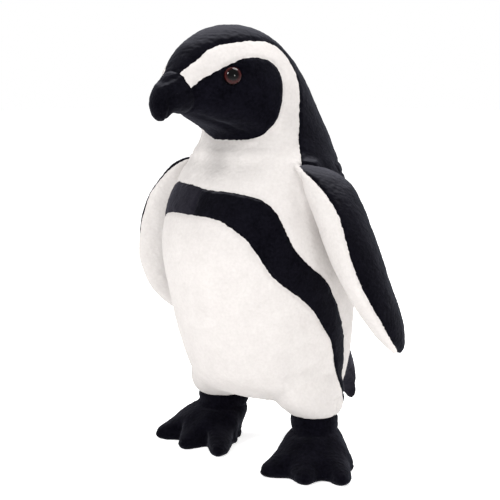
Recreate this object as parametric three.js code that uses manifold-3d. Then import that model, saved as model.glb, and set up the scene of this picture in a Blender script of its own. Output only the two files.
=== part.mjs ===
// Plush penguin, about 0.3 m tall, standing on its own two feet.
// Millimetres, +Z up.  The penguin faces -Y, its left side is +X, the floor is z = 0.
import * as THREE from 'three';
import { mergeVertices } from 'three/addons/utils/BufferGeometryUtils.js';
import Module from 'manifold-3d';

const wasm = await Module();
wasm.setup();

// ---------------------------------------------------------------- driving dimensions
const CLOTH = 2.0;            // pile fabric with its backing
const GAP = 0.3;              // clearance between neighbouring pieces
const SEAM_GAP = 0.15;        // half the gap at a seam between two panels
const BODY_BOTTOM = 43.5;     // underside of the body between the legs
const BODY_TOP = 296;         // crown of the head
const NECK_Z = 214;           // where head filling meets body filling
const PELLET_TOP = 76;        // level of the weighting pellets
const CUFF_TOP = 34.2;        // ankle seam
const CUFF_BOTTOM = 25;       // seam between ankle cuff and foot
const SOLE_EDGE = 4.5;        // seam between foot top and sole
const ANKLE_RADIUS = 15.5;
const ANKLE = { left: { x: 46, y: 1.6 }, right: { x: 43, y: -1 } };  // x counts away from the middle
// [degrees outward, reach from the ankle]; the left foot is set down turned outward
const SOLE = {
  left: [[-75, 18], [-46, 20.5], [-24, 29], [-1, 50.5], [18, 43], [35.5, 52.5], [47, 44.5], [53, 45], [62, 56.5],
    [88, 34], [125, 24], [185, 17], [250, 17]],
  right: [[-135, 14], [-95, 14], [-66, 23], [-43, 55], [-25, 31.5], [-8, 46], [17, 34], [35, 49], [66, 41], [100, 29],
    [150, 18]],
};
const MIDDLE_TOE = { left: 35.5, right: -8 };
const WEB_SPREAD = 26;        // degrees over which the toes melt into the web further up
const WEB_HEIGHTS = [5, 17];  // the outline of the toes fades between these heights
const WING_PIVOT = { x: 55, z: 192, front: -19, back: 15 };
const WING_ROOT = 10.5;       // radius of the rolled shoulder end of a wing
const WING_ROWS = 11;
const RIGHT_SEAM_IN = 5;      // how much less the right wing's inner panel wraps round its leading edge
const RIGHT_BAND_BACK = 12;   // how much further back the chest band runs on the right side
const WING_RANGE = [-6, 55];  // degrees, in towards the body and out sideways
const TAIL_PIVOT = { y: 57, z: 58 };
const TAIL_RANGE = [-12, 12];
const EYE = { at: [27.2, -57.6, 264], radius: 6, height: 4.3 };
const EYE_AXIS = new THREE.Vector3(0.74, -0.62, 0.26).normalize();

const BLACK = 0x17171d;
const WHITE = 0xf4f1ee;
const FILL = 0xe9e6df;

const LENGTH_CENTRE = -4.74;  // middle of beak tip to tail tip, moved onto the origin

// ---------------------------------------------------------------- section tables
// body and head: [height, centre y, half width, front depth, back depth, taper of the front]
const BODY = [
  [43.5, 4, 30, 28, 28, 0],
  [45.0, 4, 42, 38, 38, 0],
  [48.5, 4, 50, 45, 45.5, 0],
  [53.0, 4, 54.5, 49.5, 51, 0],
  [60.0, 4, 57, 52, 53, 0],
  [77.5, 2, 60, 57, 57, 0],
  [93.0, 0, 62, 59.5, 59.5, 0],
  [107.0, -1.7, 63.5, 61, 61, 0],
  [125.0, -4.5, 65.5, 63, 62, 0],
  [143.0, -7, 66.5, 64, 62.5, 0],
  [162.0, -8.5, 66, 62, 61.5, 0],
  [178.0, -8, 64, 58, 60, 0],
  [192.0, -5, 61, 53, 55.5, 0],
  [204.0, -1, 55.5, 47.5, 48, 0],
  [214.0, -1, 48.5, 45, 46.5, 0],
  [223.0, -3, 44, 42, 46.5, 0.2],
  [230.0, -6, 42, 46, 46.5, 0.35],
  [237.0, -10, 41, 59, 46, 0.42],
  [246.0, -15, 40.5, 68.5, 46, 0.45],
  [256.0, -20, 39.5, 66, 45.5, 0.45],
  [264.0, -23.5, 37.5, 61, 43.5, 0.4],
  [273.0, -27.5, 34.5, 53, 41, 0.3],
  [282.0, -31, 28.5, 43, 35.5, 0.2],
  [289.0, -33, 21.5, 31.5, 27.5, 0.1],
  [293.5, -34, 14, 19.5, 18, 0],
  [296.0, -34.5, 6, 8, 8, 0],
];
// beak: [y, z, lean of the section in degrees, half height, half width]
const BEAK = [
  [-55, 255, 0, 21, 26],
  [-66, 255, 0, 18, 19],
  [-76, 254.5, 8, 15.5, 14.5],
  [-84.5, 252, 25, 13.5, 12],
  [-91, 248, 48, 11, 10],
  [-94.8, 243, 72, 8, 7.5],
  [-94.8, 238.5, 92, 5.5, 5.5],
  [-93, 235.8, 105, 3, 3],
];
// left wing: [z, leading edge x, y, trailing edge x, y, thickness, wrap of the inner panel]
const WING = [
  [207, 50, -26, 48, -13, 8, 3],
  [204, 58, -28.5, 51, 0, 14, 2],
  [199, 65.5, -30, 53.5, 11, 21, 4],
  [190, 74.5, -31.5, 60.5, 16, 26, 7.5],
  [178, 85.5, -32.5, 67, 14.5, 29, 8],
  [163, 94.5, -31.5, 73, 13.5, 30, 5.5],
  [149, 101, -29.5, 78, 14, 30, 3],
  [130, 106.5, -25.5, 86.5, 17, 27, 4],
  [110, 110.5, -15, 95, 22, 22, 6],
  [96, 111, -3, 100, 23, 16, 5],
  [88, 109.5, 7, 103.5, 20, 10, 3],
  [84, 107, 13, 105, 17, 4, 1],
];
// tail: [y, z, half width, half thickness]
const TAIL = [
  [48, 61, 23, 15],
  [60, 60, 22, 14.5],
  [71, 54.5, 18.5, 12.5],
  [80, 47, 14.5, 10],
  [86, 39, 11, 7.5],
  [89.5, 31, 7, 5],
  [90.5, 23.5, 3, 3],
];
// leg: [height, radius, shift towards the middle of the body]
const LEG = [
  [34.5, 16.5, 0],
  [37.5, 19.5, 0.5],
  [41.5, 23, 3],
  [46.5, 26, 6],
  [54, 28, 10],
  [62, 27, 14],
];
// foot: [height, share of the way from the ankle circle to the outline of the sole]
const FOOT = [
  [0.0, 0.90],
  [1.5, 0.97],
  [4.5, 1.0],
  [8.0, 0.90],
  [12, 0.72],
  [17, 0.47],
  [23, 0.22],
  [29, 0.03],
  [CUFF_TOP, 0.0],
];

// ---------------------------------------------------------------- seams, seen from the side as [y, z]
const BEAK_SEAM = [[-90, 275], [-85.5, 266], [-83.5, 260.5], [-80, 255.5], [-77, 249], [-76.5, 242], [-80, 232]];
const CROWN_SEAM = [
  [-100, 258], [-85.5, 265.7], [-76, 273], [-68, 280.3], [-60.5, 284], [-51, 285.6], [-37, 286.7],
  [-22, 285.5], [-12, 281], [-6, 272], [-4.5, 260], [-8, 246], [-10, 230], [-13.5, 216], [-17.5, 207],
  [-19, 200], [-6, 196], [14, 196], [30, 199], [80, 199],
];
const MASK_SEAM = [
  [-85, 253], [-79, 257.5], [-71, 263.7], [-59, 271], [-47, 275.5], [-35, 275], [-26.5, 270.5], [-23.3, 260],
  [-24.5, 247], [-27, 235], [-31, 226.5], [-38, 222.5], [-51, 221.7], [-62, 221],
];
const BAND_TOP = [
  [-80, 190], [-60, 190], [-53, 188], [-47, 185], [-42.5, 177], [-39, 165], [-34, 153], [-24, 142], [-11, 132],
  [-1, 119], [8, 105], [15.5, 91], [20, 77], [22.5, 60], [23, 38],
];
const BAND_BOTTOM = [
  [-80, 174], [-67, 174], [-62, 166.5], [-57, 157.5], [-52, 146], [-44, 135], [-31, 123], [-18, 112.5],
  [-8.5, 100], [0, 87], [8, 73], [15, 61], [19, 48], [19.5, 38],
];
const BACK_SEAM = [[14, 206], [19, 196], [26, 186], [33, 170], [38.5, 150], [42, 120], [41, 80], [36, 58], [31, 38]];
const UNDERSIDE_Z = 47;
const CROTCH_Y = 4;

// ---------------------------------------------------------------- helpers
const point = (x, y, z) => new THREE.Vector3(x, y, z);
const radians = degrees => degrees * Math.PI / 180;

// rows evenly spaced along the spline through a table, column by column
function smoothRows(table, count) {
  const column = k => new THREE.SplineCurve(table.map((row, i) => new THREE.Vector2(i, row[k])));
  const curves = table[0].map((_, k) => column(k));
  const rows = [];
  for (let i = 0; i <= count; i++) rows.push(curves.map(curve => curve.getPoint(i / count).y));
  return rows;
}

// closed skin through a list of equally divided rings; the diagonals are mirror images either side
function loft(rings) {
  const n = rings[0].length;
  const points = rings.flat();
  const faces = [];
  for (let i = 0; i + 1 < rings.length; i++) {
    for (let k = 0; k < n; k++) {
      const a = i * n + k;
      const b = i * n + (k + 1) % n;
      if (k < n / 2) faces.push(a, b, b + n, a, b + n, a + n);
      else faces.push(a, b, a + n, b, b + n, a + n);
    }
  }
  const centre = ring => ring.reduce((sum, p) => sum.add(p), point(0, 0, 0)).divideScalar(n);
  const first = points.push(centre(rings[0])) - 1;
  const last = points.push(centre(rings.at(-1))) - 1;
  const top = (rings.length - 1) * n;
  for (let k = 0; k < n; k++) {
    const next = (k + 1) % n;
    faces.push(first, next, k, last, top + k, top + next);
  }
  const geometry = new THREE.BufferGeometry().setFromPoints(points);
  geometry.setIndex(faces);
  return geometry;
}

function volume(geometry) {
  const p = geometry.attributes.position;
  const index = geometry.index.array;
  const corner = k => point(p.getX(index[k]), p.getY(index[k]), p.getZ(index[k]));
  let sum = 0;
  for (let k = 0; k < index.length; k += 3) sum += corner(k).dot(corner(k + 1).cross(corner(k + 2))) / 6;
  return sum;
}

function flip(geometry) {
  const index = geometry.index.array;
  for (let k = 0; k < index.length; k += 3) [index[k + 1], index[k + 2]] = [index[k + 2], index[k + 1]];
  return geometry;
}

// boolean solid from any closed geometry
function solid(geometry) {
  let g = geometry.clone();
  g.deleteAttribute('normal');
  g.deleteAttribute('uv');
  g = mergeVertices(g, 1e-4);
  if (volume(g) < 0) flip(g);
  const vertProperties = Float32Array.from(g.attributes.position.array);
  const triVerts = Uint32Array.from(g.index.array);
  return new wasm.Manifold(new wasm.Mesh({ numProp: 3, vertProperties, triVerts }));
}

function toGeometry(body) {
  const mesh = body.getMesh();
  const count = mesh.vertProperties.length / mesh.numProp;
  const xyz = new Float32Array(count * 3);
  for (let i = 0; i < count; i++)
    for (let c = 0; c < 3; c++) xyz[i * 3 + c] = mesh.vertProperties[i * mesh.numProp + c];
  const g = new THREE.BufferGeometry();
  g.setAttribute('position', new THREE.BufferAttribute(xyz, 3));
  g.setIndex(Array.from(mesh.triVerts));
  return g;
}

// the biggest connected body of a boolean result, without loose crumbs
function biggest(body) {
  const g = mergeVertices(toGeometry(body), 1e-5);
  const index = g.index.array;
  const parent = Array.from({ length: g.attributes.position.count }, (_, i) => i);
  const find = i => {
    while (parent[i] !== i) i = parent[i] = parent[parent[i]];
    return i;
  };
  for (let k = 0; k < index.length; k += 3) {
    parent[find(index[k])] = find(index[k + 1]);
    parent[find(index[k + 1])] = find(index[k + 2]);
  }
  const groups = new Map();
  for (let k = 0; k < index.length; k += 3) {
    const root = find(index[k]);
    if (!groups.has(root)) groups.set(root, []);
    groups.get(root).push(index[k], index[k + 1], index[k + 2]);
  }
  let best = null;
  let most = 0;
  for (const faces of groups.values()) {
    const piece = g.clone();
    piece.setIndex(faces);
    const size = volume(piece);
    if (size > most) {
      most = size;
      best = piece;
    }
  }
  return best;
}

const union = (...bodies) => bodies.reduce((a, b) => a.add(b));
const cut = (body, ...tools) => tools.reduce((a, b) => a.subtract(b), body);

function box(x0, x1, y0, y1, z0, z1) {
  const g = new THREE.BoxGeometry(x1 - x0, y1 - y0, z1 - z0);
  g.translate((x0 + x1) / 2, (y0 + y1) / 2, (z0 + z1) / 2);
  return solid(g);
}

function mirrored(geometry) {
  const g = geometry.clone();
  g.applyMatrix4(new THREE.Matrix4().makeScale(-1, 1, 1));
  return flip(g);
}

function openSpline(points, divisions = 2) {
  const curve = new THREE.SplineCurve(points.map(([y, z]) => new THREE.Vector2(y, z)));
  return curve.getPoints((points.length - 1) * divisions).map(p => [p.x, p.y]);
}

// outline moved outward by d (inward when d is negative)
function grow(outline, d) {
  const area = outline.reduce((sum, p, i) => {
    const q = outline[(i + 1) % outline.length];
    return sum + p[0] * q[1] - q[0] * p[1];
  }, 0);
  const turn = Math.sign(area);
  return outline.map((p, i) => {
    const before = outline[(i + outline.length - 1) % outline.length];
    const after = outline[(i + 1) % outline.length];
    const along = new THREE.Vector2(after[0] - before[0], after[1] - before[1]).normalize();
    return [p[0] + turn * along.y * d, p[1] - turn * along.x * d];
  });
}

// side-view outline pushed through the body from x0 to x1
function prism(outline, x0, x1) {
  const shape = new THREE.Shape(outline.map(([y, z]) => new THREE.Vector2(y, z)));
  const g = new THREE.ExtrudeGeometry(shape, { depth: x1 - x0, bevelEnabled: false });
  g.applyMatrix4(new THREE.Matrix4().set(0, 0, 1, x0, 1, 0, 0, 0, 0, 1, 0, 0, 0, 0, 0, 1));
  return solid(g);
}

// ---------------------------------------------------------------- forms, each smaller by `inset`
function bodyForm(inset, around, rows) {
  const squeeze = (BODY_TOP - BODY_BOTTOM - 2 * inset) / (BODY_TOP - BODY_BOTTOM);
  const table = smoothRows(BODY, rows);
  const rings = table.map(([z, yc, half, front, back, taper], i) => {
    const ring = [];
    const height = BODY_BOTTOM + inset + (z - BODY_BOTTOM) * squeeze;
    // a wall that slopes under the jaw needs more than the plain inset
    const lower = table[Math.max(0, i - 1)];
    const upper = table[Math.min(rows, i + 1)];
    const lean = Math.abs((upper[3] - upper[1] - lower[3] + lower[1]) / (upper[0] - lower[0]));
    const frontInset = inset * Math.min(1.9, Math.hypot(1, lean));
    for (let k = 0; k < around; k++) {
      const angle = 2 * Math.PI * k / around;
      const c = Math.cos(angle);
      const narrowing = c > 0 ? 1 - taper * c * c : 1;
      const depth = c > 0 ? front - frontInset : back - inset;
      ring.push(point(Math.max(1, half - inset) * Math.sin(angle) * narrowing, yc - Math.max(1, depth) * c, height));
    }
    return ring;
  });
  return solid(loft(rings));
}

function beakForm(inset, around, rows) {
  // the hollow ends short of the hooked tip, and the filling a little shorter still
  const last = inset > CLOTH ? rows - 1 : inset > 0 ? rows : rows + 1;
  const rings = smoothRows(BEAK, rows).slice(0, last).map(([y, z, lean, high, wide]) => {
    const up = point(0, -Math.sin(radians(lean)), Math.cos(radians(lean)));
    const ring = [];
    for (let k = 0; k < around; k++) {
      const angle = 2 * Math.PI * k / around;
      const p = point(Math.max(0.8, wide - inset) * Math.sin(angle), y, z);
      ring.push(p.addScaledVector(up, Math.max(0.8, high - inset) * Math.cos(angle)));
    }
    return ring;
  });
  return solid(loft(rings));
}

function legForm(side, inset, around) {
  const ankle = ANKLE[side];
  const rings = smoothRows(LEG, 5).map(([z, radius, shift], i) => {
    const ring = [];
    for (let k = 0; k < around; k++) {
      const angle = 2 * Math.PI * k / around;
      const r = radius - inset;
      const height = i === 0 ? z + inset : Math.max(z, LEG[0][0] + inset + 0.1 * i);
      ring.push(point(ankle.x - shift + r * Math.sin(angle), ankle.y - r * Math.cos(angle), height));
    }
    return ring;
  });
  return loft(rings);
}

function wholeForm(inset, around, rows) {
  const leg = side => legForm(side, inset, Math.round(around * 0.6));
  const beak = beakForm(inset, Math.round(around * 0.5), 9);
  return union(bodyForm(inset, around, rows), beak, solid(leg('left')), solid(mirrored(leg('right'))));
}

// how far the sole reaches from the ankle in a direction, degrees outward
function soleReach(side, degrees) {
  const rows = SOLE[side];
  const first = rows[0][0];
  const turned = first + ((degrees - first) % 360 + 360) % 360;
  const closed = [...rows, [first + 360, rows[0][1]]];
  const k = closed.findIndex(row => row[0] > turned);
  const [a, from] = closed[k - 1];
  const [b, to] = closed[k];
  return from + (to - from) * THREE.MathUtils.smoothstep(turned, a, b);
}

function webReach(side, degrees) {
  const turns = [-1, -0.6, -0.2, 0.2, 0.6, 1];
  return turns.reduce((sum, t) => sum + soleReach(side, degrees + t * WEB_SPREAD), 0) / turns.length;
}

// directions round the foot from its middle toe, closer together over the toes
const FOOT_DIRECTIONS = [];
for (let d = -63; d <= 63; d += 7) FOOT_DIRECTIONS.push(d);
for (let d = 90; d <= 270; d += 30) FOOT_DIRECTIONS.push(d);

function footForm(side, inset) {
  const sign = side === 'left' ? 1 : -1;
  const ankle = ANKLE[side];
  const rings = smoothRows(FOOT, inset > 0 ? 5 : 7).map(([z, share]) => {
    const height = Math.min(Math.max(z, inset), CUFF_TOP - inset);
    const fade = THREE.MathUtils.smoothstep(z, ...WEB_HEIGHTS);
    return FOOT_DIRECTIONS.map(direction => {
      const outward = direction + MIDDLE_TOE[side];
      const reach = (1 - fade) * soleReach(side, outward) + fade * webReach(side, outward);
      const r = ANKLE_RADIUS + share * (reach - ANKLE_RADIUS) - inset;
      return point(sign * (ankle.x + r * Math.sin(radians(outward))), ankle.y - r * Math.cos(radians(outward)), height);
    });
  });
  return solid(loft(rings));
}

function wingRing([z, leadX, leadY, trailX, trailY, thickness], inset) {
  const lead = point(leadX, leadY, z);
  const trail = point(trailX, trailY, z);
  const middle = lead.clone().lerp(trail, 0.5);
  const half = lead.clone().sub(trail).multiplyScalar(0.5);
  half.setLength(Math.max(0.8, half.length() - inset));
  const out = point(-half.y, half.x, 0).setLength(Math.max(0.8, thickness / 2 - inset));
  const ring = [];
  const around = inset > 0 ? 12 : 16;
  for (let k = 0; k < around; k++) {
    const angle = 2 * Math.PI * k / around;
    ring.push(middle.clone().addScaledVector(half, Math.cos(angle)).addScaledVector(out, Math.sin(angle)));
  }
  return ring;
}

// body surface as it comes nearest to the wing over the whole swing
function sweptBody(clearance) {
  const angles = [WING_RANGE[0], 25, WING_RANGE[1]];
  const tools = angles.map(angle => {
    const g = toGeometry(bodyForm(-clearance, 16, 12));
    g.translate(-WING_PIVOT.x, 0, -WING_PIVOT.z);
    g.rotateY(radians(angle));
    g.translate(WING_PIVOT.x, 0, WING_PIVOT.z);
    return solid(g);
  });
  return union(...tools);
}

// rounded roll along the shoulder, centred on the wing pivot
function wingRoot(radius) {
  const length = WING_PIVOT.back - WING_PIVOT.front;
  const g = new THREE.CapsuleGeometry(radius, length - 2 * WING_ROOT + 6, 3, 14);
  g.translate(WING_PIVOT.x, (WING_PIVOT.front + WING_PIVOT.back) / 2, WING_PIVOT.z);
  return solid(g);
}

function wingForm(inset) {
  const rows = smoothRows(WING, inset > 0 ? 9 : WING_ROWS);
  const rings = rows.map((row, i) => {
    const raised = i === rows.length - 1 ? inset : 0;
    return wingRing([row[0] + raised, ...row.slice(1)], inset);
  });
  const blade = cut(solid(loft(rings)), sweptBody(2.5 + inset));
  return union(blade, wingRoot(WING_ROOT - inset));
}

// everything outside the sheet from the seam at the leading edge to the trailing edge
function wingOutside(side, offset) {
  const last = WING[WING.length - 1];
  const rows = [[222, 46, -20, 36, 12, 0, 3], ...smoothRows(WING, WING_ROWS), [70, 100, 22, 99, 24, 0, last[6]]];
  const rings = rows.map(([z, leadX, leadY, trailX, trailY, , wrap]) => {
    const drawnIn = side === 'right' ? RIGHT_SEAM_IN * Math.min(1, Math.max(0, (z - 145) / 20)) : 0;
    const lead = point(leadX, leadY, z);
    const trail = point(trailX, trailY, z);
    const along = lead.clone().sub(trail).setLength(30);
    const out = point(-along.y, along.x, 0).normalize();
    lead.add(along).addScaledVector(out, offset + wrap - drawnIn);
    trail.sub(along).addScaledVector(out, offset);
    return [lead, trail, trail.clone().addScaledVector(out, 60), lead.clone().addScaledVector(out, 60)];
  });
  return solid(loft(rings));
}

function tailForm(inset) {
  const last = inset > CLOTH ? 5 : inset > 0 ? 6 : 7;
  const rings = smoothRows(TAIL, 6).slice(0, last).map(([y, z, wide, thick]) => {
    const ring = [];
    for (let k = 0; k < 16; k++) {
      const angle = 2 * Math.PI * k / 16;
      const w = Math.max(0.8, wide - inset);
      const h = Math.max(0.8, thick - inset);
      ring.push(point(w * Math.sin(angle), y + 0.6 * h * Math.cos(angle), z + h * Math.cos(angle)));
    }
    return ring;
  });
  const tools = [...TAIL_RANGE, 0].map(angle => {
    const g = toGeometry(bodyForm(-2.4 - inset, 18, 16));
    g.translate(0, -TAIL_PIVOT.y, -TAIL_PIVOT.z);
    g.rotateX(radians(angle));
    g.translate(0, TAIL_PIVOT.y, TAIL_PIVOT.z);
    return solid(g);
  });
  return cut(solid(loft(rings)), ...tools);
}

// round piece about the axis of the left eye, from depth s0 to s1 along it
function eyeRound(profile, segments = 14) {
  const g = new THREE.LatheGeometry(profile.map(([r, s]) => new THREE.Vector2(r, s)), segments);
  g.applyQuaternion(new THREE.Quaternion().setFromUnitVectors(point(0, 1, 0), EYE_AXIS));
  g.translate(...EYE.at);
  return g;
}
const eyeRod = (r, s0, s1) => eyeRound([[0, s0], [r, s0], [r, s1], [0, s1]]);

// ---------------------------------------------------------------- assembly
const group = new THREE.Group();
group.name = 'plush_penguin';

function addPiece(name, geometry, color, roughness = 0.95) {
  const g = geometry.clone();
  g.translate(0, -LENGTH_CENTRE, 0);
  g.computeVertexNormals();
  const material = new THREE.MeshStandardMaterial({ color, roughness, metalness: 0 });
  const mesh = new THREE.Mesh(g, material);
  mesh.name = name;
  group.add(mesh);
}
function addPair(name, geometry, color, roughness) {
  addPiece('left_' + name, geometry, color, roughness);
  addPiece('right_' + name, mirrored(geometry), color, roughness);
}

// eye pieces and the holes they need
const seat = -0.9;
const bothSides = g => union(solid(g), solid(mirrored(g)));
const eyePocket = bothSides(eyeRod(EYE.radius + GAP, seat - GAP, 12));
const eyeHole = bothSides(eyeRod(2.1, -12, 2));
const washerPocket = bothSides(eyeRod(5.8, -6.3, 0));

// skin of head and body
const outer = wholeForm(0, 28, 30);
const inner = wholeForm(CLOTH, 18, 22);
const rootRoom = solid(mirrored(toGeometry(wingRoot(WING_ROOT + 0.5)))).add(wingRoot(WING_ROOT + 0.5));
const skin = cut(outer, inner, rootRoom, eyePocket, eyeHole);

const beakOutline = [...openSpline(BEAK_SEAM), [-130, 225], [-130, 280]];
const crownOutline = [...CROWN_SEAM, [80, 320], [-100, 320]];
const maskOutline = [...openSpline(MASK_SEAM), [-90, 224], [-95, 250]];
const backOutline = [...BACK_SEAM, [100, 38], [100, 206]];
const underOutline = [[CROTCH_Y, 20], [100, 20], [100, UNDERSIDE_Z], [CROTCH_Y, UNDERSIDE_Z]];

// the chest band runs further back on the right side of the chest
const smoothStep = t => THREE.MathUtils.smoothstep(t, 0, 1);
const shiftedBack = rows => rows.map(
  ([y, z]) => [y + RIGHT_BAND_BACK * smoothStep((y + 70) / 8) * smoothStep((z - 110) / 50), z]);
const bandTop = { left: BAND_TOP, right: shiftedBack(BAND_TOP) };
const bandBottom = { left: BAND_BOTTOM, right: shiftedBack(BAND_BOTTOM) };
const bandOutline = side => [...bandTop[side], ...[...bandBottom[side]].reverse()];
const bellyOutline = side => [
  ...bandBottom[side].slice(0, -1), [22, UNDERSIDE_Z], [CROTCH_Y, UNDERSIDE_Z], [CROTCH_Y, 20], [-90, 20]];

const SIDES = ['left', 'right'];
const whole = (outline, d) => prism(grow(outline, d), -140, 140);
const half = (side, outline, d, from) => (
  side === 'left' ? prism(grow(outline, d), from, 140) : prism(grow(outline, d), -140, -from));
const room = outline => whole(outline, GAP / 2);
const beakRoom = room(beakOutline);
const crownRoom = room(crownOutline);
const maskRoom = room(maskOutline);
const backRoom = room(backOutline);
const underRoom = room(underOutline);
const bandRoom = union(...SIDES.map(side => half(side, bandOutline(side), GAP / 2, 0)));
const bellyRoom = union(...SIDES.map(side => half(side, bellyOutline(side), GAP / 2, 0)));
const inside = -GAP / 2;

const crownPanel = cut(skin.intersect(whole(crownOutline, inside)), beakRoom);
const bellyPanel = cut(
  skin.intersect(union(...SIDES.map(side => half(side, bellyOutline(side), inside, 0)))), bandRoom);
const underPanel = cut(skin.intersect(whole(underOutline, inside)), bandRoom);

addPiece('crown_panel', biggest(crownPanel), BLACK);
for (const side of SIDES) {
  const beakPanel = skin.intersect(half(side, beakOutline, inside, SEAM_GAP));
  const cheekPanel = cut(skin.intersect(half(side, maskOutline, inside, SEAM_GAP)), beakRoom, crownRoom);
  const bandPanel = skin.intersect(half(side, bandOutline(side), inside, SEAM_GAP));
  const backPanel = cut(skin.intersect(half(side, backOutline, inside, SEAM_GAP)), crownRoom, underRoom);
  const sideHalf = side === 'left' ? box(SEAM_GAP, 140, -140, 140, 0, 320) : box(-140, -SEAM_GAP, -140, 140, 0, 320);
  const collarPanel = cut(
    skin.intersect(sideHalf), beakRoom, crownRoom, maskRoom, bandRoom, bellyRoom, backRoom, underRoom);
  addPiece(side + '_beak_panel', biggest(beakPanel), BLACK);
  addPiece(side + '_cheek_panel', biggest(cheekPanel), BLACK);
  addPiece(side + '_collar_panel', biggest(collarPanel), WHITE);
  addPiece(side + '_chest_band', biggest(bandPanel), BLACK);
  addPiece(side + '_back_panel', biggest(backPanel), BLACK);
}
addPiece('belly_panel', biggest(bellyPanel), WHITE);
addPiece('underside_panel', biggest(underPanel), WHITE);

// filling
const filling = cut(
  wholeForm(CLOTH + GAP, 18, 22), bothSides(toGeometry(wingRoot(WING_ROOT + 3))), eyeHole, washerPocket);
addPiece('head_filling', biggest(filling.intersect(box(-140, 140, -140, 140, NECK_Z + SEAM_GAP, 320))), FILL);
addPiece('body_filling', biggest(filling.intersect(
  box(-140, 140, -140, 140, PELLET_TOP + SEAM_GAP, NECK_Z - SEAM_GAP))), FILL);
addPiece('pellet_bag', biggest(filling.intersect(box(-140, 140, -140, 140, 0, PELLET_TOP - SEAM_GAP))), 0xd9cdb8);

// wings
const wingSkin = cut(wingForm(0), wingForm(CLOTH));
for (const side of SIDES) {
  const place = g => side === 'left' ? g : mirrored(g);
  addPiece(side + '_wing_outer_panel', place(biggest(wingSkin.intersect(wingOutside(side, SEAM_GAP)))), BLACK);
  addPiece(side + '_wing_inner_panel', place(biggest(cut(wingSkin, wingOutside(side, -SEAM_GAP)))), WHITE);
}
addPair('wing_filling', biggest(wingForm(CLOTH + GAP)), FILL);

// tail
const tailSkin = cut(tailForm(0), tailForm(CLOTH));
const tailMiddle = [[40, 62.5], [60, 56], [72, 49], [82, 41], [88.5, 34], [93, 27.5], [100, 18]];
const aboveTail = offset => prism([...tailMiddle.map(([y, z]) => [y + offset * 0.7, z + offset]), [120, 120], [40, 120]], -60, 60);
addPiece('tail_top_panel', biggest(tailSkin.intersect(aboveTail(SEAM_GAP))), BLACK);
addPiece('tail_bottom_panel', biggest(cut(tailSkin, aboveTail(-SEAM_GAP))), BLACK);
addPiece('tail_filling', biggest(tailForm(CLOTH + GAP)), FILL);

// feet
for (const side of ['left', 'right']) {
  const footSkin = cut(footForm(side, 0), footForm(side, 1.8));
  const slab = (z0, z1) => box(-140, 140, -140, 140, z0, z1);
  addPiece(side + '_foot_sole', biggest(footSkin.intersect(slab(-1, SOLE_EDGE - SEAM_GAP))), BLACK);
  addPiece(side + '_foot_top', biggest(footSkin.intersect(slab(SOLE_EDGE + SEAM_GAP, CUFF_BOTTOM - SEAM_GAP))), BLACK);
  addPiece(side + '_ankle_cuff', biggest(footSkin.intersect(slab(CUFF_BOTTOM + SEAM_GAP, 60))), BLACK);
  addPiece(side + '_foot_filling', biggest(footForm(side, 2 + GAP)), FILL);
}

// eyes
const dome = [];
for (let k = 0; k <= 4; k++) {
  const angle = k / 4 * Math.PI / 2;
  dome.push([EYE.radius * Math.cos(angle), seat + 0.5 + EYE.height * Math.sin(angle)]);
}
dome.at(-1)[0] = 0;
addPair('eye', biggest(solid(eyeRound([[0, seat], [EYE.radius, seat], ...dome]))), 0x2a0f0a, 0.1);
addPair('eye_post', biggest(solid(eyeRod(1.8, -10, seat - GAP))), 0x1c1c1c, 0.5);
addPair('eye_washer', biggest(solid(eyeRound([[2.1, -6], [5.5, -6], [5.5, -5], [2.1, -5], [2.1, -6]]))), 0xe8e8e8, 0.5);

export default group;
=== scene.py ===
import itertools
import math

import bpy
import numpy as np
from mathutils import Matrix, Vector
from mathutils.kdtree import KDTree


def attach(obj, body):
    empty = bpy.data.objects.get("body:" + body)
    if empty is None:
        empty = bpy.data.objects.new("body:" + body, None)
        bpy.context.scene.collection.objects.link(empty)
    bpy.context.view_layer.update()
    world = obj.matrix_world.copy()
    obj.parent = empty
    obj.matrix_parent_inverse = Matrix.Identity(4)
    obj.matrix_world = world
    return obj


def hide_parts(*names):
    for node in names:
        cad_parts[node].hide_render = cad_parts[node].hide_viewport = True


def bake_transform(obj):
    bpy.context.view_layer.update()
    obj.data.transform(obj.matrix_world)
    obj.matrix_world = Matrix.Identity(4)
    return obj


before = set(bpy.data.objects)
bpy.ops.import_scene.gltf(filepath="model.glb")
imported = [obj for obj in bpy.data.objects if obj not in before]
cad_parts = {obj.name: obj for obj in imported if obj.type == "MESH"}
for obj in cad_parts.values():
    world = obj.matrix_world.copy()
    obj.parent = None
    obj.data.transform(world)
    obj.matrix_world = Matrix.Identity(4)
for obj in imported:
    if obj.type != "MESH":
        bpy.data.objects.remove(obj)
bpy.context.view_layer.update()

MM = 0.001

# ------------------------------------------------------------------ section tables, millimetres
# The sections of the CAD forms. The tail, one row of the right sole, the wrap of the wing panels and
# some of the seams differ from the CAD by a few millimetres. Y_SHIFT centres the overall length.
Y_SHIFT = 4.74
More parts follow.
